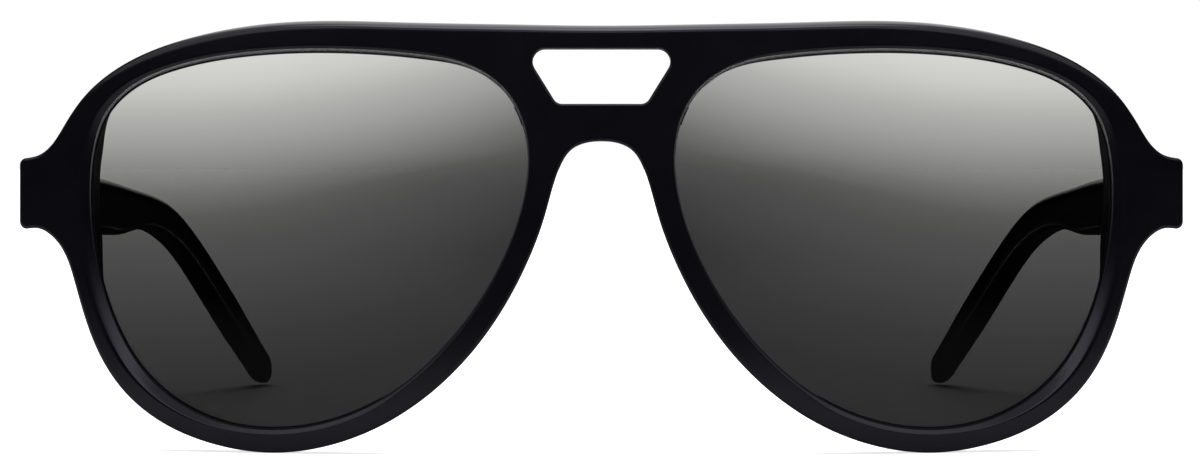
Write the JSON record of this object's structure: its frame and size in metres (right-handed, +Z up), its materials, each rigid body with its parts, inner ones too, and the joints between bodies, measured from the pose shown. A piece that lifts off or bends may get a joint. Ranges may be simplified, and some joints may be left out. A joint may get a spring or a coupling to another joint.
{
  "type": "aviator sunglasses",
  "caption": "Aviator sunglasses with a wrapped black acetate front, double bridge with a window, graduated grey lenses, nose pads and slim folding temples.",
  "frame": {"origin": "centre of the bottom of the open glasses as they stand: on the table plane, on the symmetry plane, half way between the foremost point of the rims and the temple tips", "axes": "-Y the way the wearer looks, +Y back along the open temples, +Z up, +X the wearer's left"},
  "size_m": [0.1454, 0.1514, 0.0531],
  "materials": {
    "front_acetate": "satin",
    "temple_acetate": "satin",
    "pad_acetate": "satin",
    "graduated_lens": "polished",
    "hinge_metal": "satin",
    "screw_steel": "polished",
    "core_wire": "drawn"
  },
  "bodies": {
    "front": {"front_frame": "front_acetate", "left_lens": "graduated_lens", "right_lens": "graduated_lens", "left_nose_pad": "pad_acetate", "right_nose_pad": "pad_acetate", "left_front_hinge_leaf": "hinge_metal", "right_front_hinge_leaf": "hinge_metal", "left_hinge_screw": "screw_steel", "right_hinge_screw": "screw_steel"},
    "left_arm": {"left_temple": "temple_acetate", "left_temple_hinge_leaf": "hinge_metal", "left_core_wire": "core_wire"},
    "right_arm": {"right_temple": "temple_acetate", "right_temple_hinge_leaf": "hinge_metal", "right_core_wire": "core_wire"}
  },
  "joints": [
    {"name": "left_temple_fold", "type": "hinge", "parent": "front", "child": "left_arm", "pos_m": [0.0667, -0.05455, 0.0318], "axis": [0, 0, 1], "range_deg": [0, 87]},
    {"name": "right_temple_fold", "type": "hinge", "parent": "front", "child": "right_arm", "pos_m": [-0.0667, -0.05455, 0.0318], "axis": [0, 0, -1], "range_deg": [0, 81]}
  ]
}
